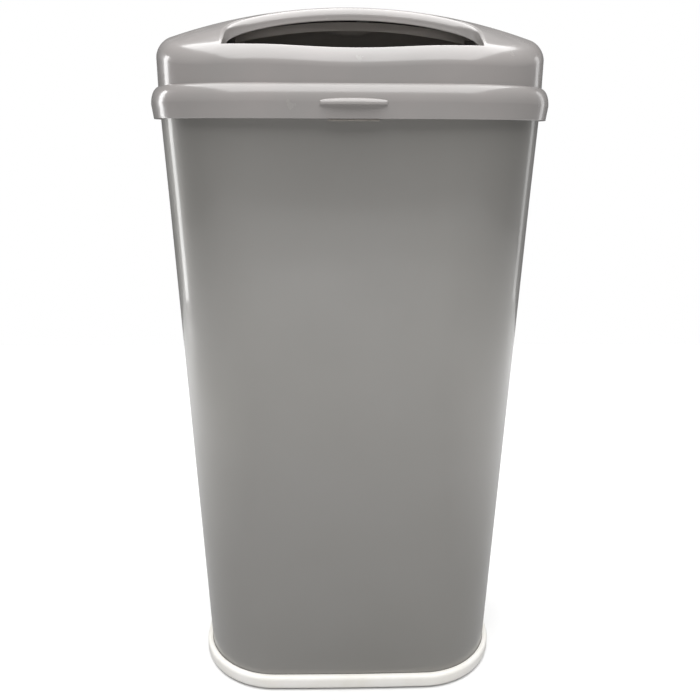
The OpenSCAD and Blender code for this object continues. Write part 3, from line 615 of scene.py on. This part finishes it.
for spoke, following in zip(spokes, spokes[1:] + spokes[:1]):
    skinned(shape, spoke, following)
hood = finished("hood_moulding", shape, 60)
hood.data.materials.append(abs_gloss)
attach(hood, "lid")
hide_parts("hood")

# ---------------------------------------------------------------- mouth trim
# The flange round the mouth's rear edge and sides, of the hood's gloss ABS: it rolls over
# from the dome and drops 10 mm. Its section is led along the edge at the dome's height.
# Where the trim starts at the lip, and in front of where it keeps level.
TRIM_FRONT_Y, TRIM_LEVEL_Y = -0.107, -0.112
# Steps along a side, round a corner and along half the rear arc.
SIDE_STEPS, CORNER_STEPS, REAR_STEPS = 12, 16, 32
half_path = []
for k in range(SIDE_STEPS):
    y = TRIM_FRONT_Y + (MOUTH_CORNER_Y - TRIM_FRONT_Y) * k / SIDE_STEPS
    half_path.append((MOUTH_HALF_W, y, 0.0))
for k in range(CORNER_STEPS):
    a = MOUTH_TURN * k / CORNER_STEPS
    x = MOUTH_CORNER_X + MOUTH_CORNER_R * math.cos(a)
    y = MOUTH_CORNER_Y + MOUTH_CORNER_R * math.sin(a)
    half_path.append((x, y, a))
for k in range(REAR_STEPS + 1):
    a = MOUTH_TURN + (math.pi / 2 - MOUTH_TURN) * k / REAR_STEPS
    half_path.append((MOUTH_R * math.cos(a), MOUTH_Y + MOUTH_R * math.sin(a), a))
path = half_path + [(-x, y, math.pi - a) for x, y, a in half_path[-2::-1]]
stations = []
for px, py, a in path:
    # The section as [outwards, down] in millimetres: the roll, the drop, and back up.
    roll = 1000 * roll_width(math.sin(a))
    section = [(roll + 0.3, 0.15)]
    for t in range(11):
        turn = t * math.pi / 20
        section.append((roll * (1 - math.sin(turn)), roll * (1 - math.cos(turn))))
    section += [
        (0, 8.6), (-0.25, 9.2), (0.0, 9.8), (0.6, 10.0), (1.4, 9.9),
        (1.9, 9.2), (2.0, 7.8), (2.2, min(7.6, roll + 1.5)), (roll + 0.3, 2.2),
    ]
    station = []
    for out, drop in section:
        x, y = px + out * 0.001 * math.cos(a), py + out * 0.001 * math.sin(a)
        z = hood_top(x, max(y, TRIM_LEVEL_Y)) - drop * 0.001
        station.append((x, bow(x, y), z))
    stations.append(station)
trim = rounded_strip("mouth_trim_flange", stations, 60)
trim.data.materials.append(abs_gloss)
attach(trim, "lid")
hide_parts("mouth_trim")

# ---------------------------------------------------------------- feet and floor plate
# Eight moulded rubber feet in pockets of the base ring, and the galvanised floor plate on
# it, held by four zinc-plated screws. They keep their solids, with sharp edges broken.
def dressed(node, material, width, bowed=False):
    """A merged copy of a node's own solid, with its sharp edges broken by a width in mm."""
    source = frame["nodes"][node]
    shape = bmesh.new()
    shape.from_mesh(source.data)
    bmesh.ops.remove_doubles(shape, verts=shape.verts, dist=0.000002)
    bmesh.ops.dissolve_limit(shape, angle_limit=0.01, verts=shape.verts, edges=shape.edges)
    sharp = [e for e in shape.edges if len(e.link_faces) == 2 and e.calc_face_angle(0) > 0.55]
    bmesh.ops.bevel(
        shape, geom=sharp, offset=width * 0.001, affect="EDGES", segments=2, profile=0.5,
        clamp_overlap=True, material=-1)
    if bowed:
        for v in shape.verts:
            v.co.y = bow(v.co.x, v.co.y)
    mesh = bpy.data.meshes.new(node + "_piece")
    shape.to_mesh(mesh)
    shape.free()
    made = add_object(node + "_piece", mesh)
    made.data.materials.append(material)
    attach(made, source["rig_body"])
    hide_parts(node)


# Moulded rubber: near black and matt, with a fine grain that takes away any highlight.
rubber, tree, shader, place = finish_material("moulded_rubber", "3a3a3a", 0.75, IOR=1.5)
varied(tree, shader, noise(tree, place, 4, 4), 0.65, 0.85)
bumped(tree, shader, [(noise(tree, place, 0.4, 2), 0.03)])
# Bright zinc plate: a clear cool metal, whose highlights are drawn out by fine turning.
zinc, tree, shader, place = finish_material("bright_zinc_plate", "b9babd", 0.3, Metallic=1.0)
varied(tree, shader, noise(tree, place, 0.6, 3, stretch=(1, 8, 1)), 0.22, 0.42)
bumped(tree, shader, [(noise(tree, place, 0.3, 2, stretch=(1, 8, 1)), 0.004)])
# Galvanised sheet: a duller metal that is patchy, as each zinc crystal mirrors its own way.
galvanised, tree, shader, place = finish_material("galvanised_sheet", "b4b6b8", 0.4, Metallic=1.0)
crystals = put(tree, "ShaderNodeMapping", {"Vector": place}, Scale=(140, 140, 140))
spangle = put(tree, "ShaderNodeTexVoronoi", {"Vector": crystals.outputs[0]}, Scale=1.0)
varied(tree, shader, spangle.outputs["Distance"], 0.32, 0.5, from_min=0.0, from_max=1.0)
bumped(tree, shader, [(noise(tree, place, 3, 3), 0.01)])
dressed("rubber_feet", rubber, 0.3)
dressed("base_screws", zinc, 0.15)
dressed("floor_plate", galvanised, 0.2)

# ---------------------------------------------------------------- top frame and bag ring
# A moulded ABS channel pressed over the body's upper edge, and on its shelf the loose
# ring of white polypropylene that holds the bag.
# Fine-textured ABS: an even matt grey that shows no lights, only soft shading.
matte_grey, tree, shader, place = finish_material("fine_textured_abs", "a9a7a6", 0.5, IOR=1.53)
varied(tree, shader, noise(tree, place, 12, 3), 0.42, 0.58)
bumped(tree, shader, [(noise(tree, place, 0.5, 2), 0.03)])
dressed("top_frame", matte_grey, 0.4)
dressed("bag_ring", white_plastic, 0.4)

# ---------------------------------------------------------------- hinge brackets
# Two steel brackets on the body's rear wall, in the body's enamel. Each has two knuckles
# for its pin and is held by two zinc-plated screws.
dressed("hinge_bracket_left", enamel, 0.4)
dressed("hinge_bracket_right", enamel, 0.4)
dressed("bracket_screws", zinc, 0.15)

# ---------------------------------------------------------------- gasket and latch tongue
# A soft rubber ring under the rim, and the thin steel tongue under the finger tab that
# clicks over the top frame's edge. Two zinc-plated rivets hold the tongue to the rim.
# Rolled spring steel: a warm dull grey with a short sheen along the rolling.
spring, tree, shader, place = finish_material("rolled_spring_steel", "8c8781", 0.45, Metallic=0.6)
varied(tree, shader, noise(tree, place, 0.5, 2, stretch=(12, 1, 1)), 0.24, 0.42)
bumped(tree, shader, [(noise(tree, place, 0.4, 2, stretch=(12, 1, 1)), 0.003)])
dressed("lid_gasket", rubber, 0.2)
dressed("latch_tongue", spring, 0.15, bowed=True)
dressed("tongue_rivets", zinc, 0.1, bowed=True)

# ---------------------------------------------------------------- hinge pins
# Two zinc-plated steel pins on which the whole lid turns, pushed through the knuckles of
# the brackets.
dressed("hinge_pin_left", zinc, 0.2)
dressed("hinge_pin_right", zinc, 0.2)

# ---------------------------------------------------------------- front seal and chute
# A soft rubber strip that the shut door's lip meets, and the collar of white
# polypropylene under the mouth. Eight zinc-plated screws hold collar and rim to the hood.
dressed("front_seal", rubber, 0.3)
dressed("chute", white_plastic, 0.3)
dressed("lid_screws", zinc, 0.15)

# ---------------------------------------------------------------- tracks and lock leaf
# Two moulded acetal channels that hang under the hood and guide the door, held by six
# zinc-plated screws, and the spring steel leaf that the lock's bar clicks along.
# Moulded acetal: a slightly waxy grey, rubbed smoother in places.
acetal, tree, shader, place = finish_material("moulded_acetal", "8d8c8b", 0.38, IOR=1.48)
varied(tree, shader, noise(tree, place, 6, 4), 0.3, 0.46)
bumped(tree, shader, [(noise(tree, place, 0.8, 2), 0.01)])
dressed("track_left", acetal, 0.2)
dressed("track_right", acetal, 0.2)
dressed("track_screws", zinc, 0.1)
dressed("lock_leaf", spring, 0.1)

# ---------------------------------------------------------------- sliding door
# A curved moulded ABS door, with acetal runners at its corners, a soft rubber strip along
# its rear edge and the acetal catch that the lock's pawl drops behind.
# Satin ABS: a warm grey without a clear gloss, so that the shut door doesn't glare.
door_abs, tree, shader, place = finish_material("satin_moulded_abs", "a8a29d", 0.5, IOR=1.53)
varied(tree, shader, noise(tree, place, 9, 4), 0.44, 0.56)
bumped(tree, shader, [(noise(tree, place, 0.6, 2), 0.008)])
dressed("sliding_door", door_abs, 0.4)
dressed("door_runners", acetal, 0.3)
dressed("door_wiper", rubber, 0.2)
dressed("lock_catch", acetal, 0.25)

# ---------------------------------------------------------------- child lock
# A moulded ABS knob on the hood's rear slope, fixed through a slot to the acetal bar
# whose pawl stands behind the door's catch.
# Its ABS is paler and softer than the hood's, so that the knob stands out as a control.
knob_abs, tree, shader, place = finish_material("moulded_abs_knob", "bdbab6", 0.42, IOR=1.53)
varied(tree, shader, noise(tree, place, 5, 3), 0.36, 0.5)
bumped(tree, shader, [(noise(tree, place, 0.5, 2), 0.02)])
dressed("lock_knob", knob_abs, 0.35)
dressed("lock_bar", acetal, 0.25)
